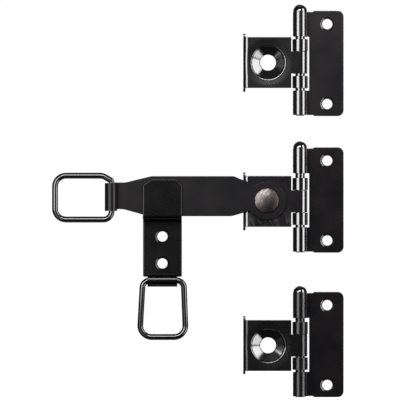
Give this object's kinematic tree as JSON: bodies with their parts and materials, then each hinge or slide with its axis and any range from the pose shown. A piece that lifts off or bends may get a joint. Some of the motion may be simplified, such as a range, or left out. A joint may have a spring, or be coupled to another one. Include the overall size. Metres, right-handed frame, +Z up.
{
  "type": "stair gate latch and hinge set",
  "caption": "Pin hinges on one upright axis with a riveted latch strap that drops into a hooked keeper and is lifted by a wire ring.",
  "frame": {"origin": "middle of the keeper's two screw holes, on the back plane that the whole set is mounted on", "axes": "+Z up along the hinge axis, +X from the keeper to the hinges, -Y to the front"},
  "size_m": [0.1945, 0.0189, 0.2623],
  "materials": {
    "black_plate": "gloss black coating",
    "black_strap": "semi-gloss black coating",
    "black_pin": "high-gloss black coating",
    "black_wire": "high-gloss black coating",
    "rivet_steel": "burnished brown-grey steel"
  },
  "bodies": {
    "gate_side": {"top_gate_leaf": "black_plate", "top_upper_collar": "black_pin", "top_lower_collar": "black_pin", "middle_gate_leaf": "black_plate", "middle_upper_collar": "black_pin", "middle_lower_collar": "black_pin", "bottom_gate_leaf": "black_plate", "bottom_upper_collar": "black_pin", "bottom_lower_collar": "black_pin", "pivot_rivet": "rivet_steel", "pivot_washer": "rivet_steel", "rivet_burr": "rivet_steel", "keeper_bracket": "black_strap"},
    "latch_strap": {"latch_strap": "black_strap"},
    "pull_ring": {"pull_ring": "black_wire"},
    "keeper_ring": {"keeper_ring": "black_wire"},
    "top_wall_side": {"top_wall_leaf": "black_plate", "top_hinge_pin": "black_pin"},
    "middle_wall_side": {"middle_wall_leaf": "black_plate", "middle_hinge_pin": "black_pin"},
    "bottom_wall_side": {"bottom_wall_leaf": "black_plate", "bottom_hinge_pin": "black_pin"}
  },
  "joints": [
    {"name": "middle_hinge_swing", "type": "hinge", "parent": "gate_side", "child": "middle_wall_side", "pos_m": [0.0919, -0.0049, 0.0334], "axis": [0, 0, 1], "range_deg": [-90, 90]},
    {"name": "top_hinge_swing", "type": "hinge", "parent": "gate_side", "child": "top_wall_side", "pos_m": [0.0919, -0.0049, 0.1247], "axis": [0, 0, 1], "range_deg": [-90, 90]},
    {"name": "bottom_hinge_swing", "type": "hinge", "parent": "gate_side", "child": "bottom_wall_side", "pos_m": [0.0919, -0.0049, -0.0632], "axis": [0, 0, 1], "range_deg": [-90, 90]},
    {"name": "strap_lift", "type": "hinge", "parent": "gate_side", "child": "latch_strap", "pos_m": [0.0696, -0.0111, 0.033], "axis": [0, 1, 0], "range_deg": [0, 90]},
    {"name": "pull_ring_swing", "type": "hinge", "parent": "latch_strap", "child": "pull_ring", "pos_m": [-0.0337, -0.01445, 0.035], "axis": [0, 0, 1], "range_deg": [-10, 155]},
    {"name": "keeper_ring_swing", "type": "hinge", "parent": "gate_side", "child": "keeper_ring", "pos_m": [0, -0.00415, -0.02035], "axis": [-1, 0, 0], "range_deg": [-3, 150]}
  ],
  "couplings": [
    {"joint": "top_hinge_swing", "follows": "middle_hinge_swing", "ratio": 1},
    {"joint": "bottom_hinge_swing", "follows": "middle_hinge_swing", "ratio": 1}
  ]
}
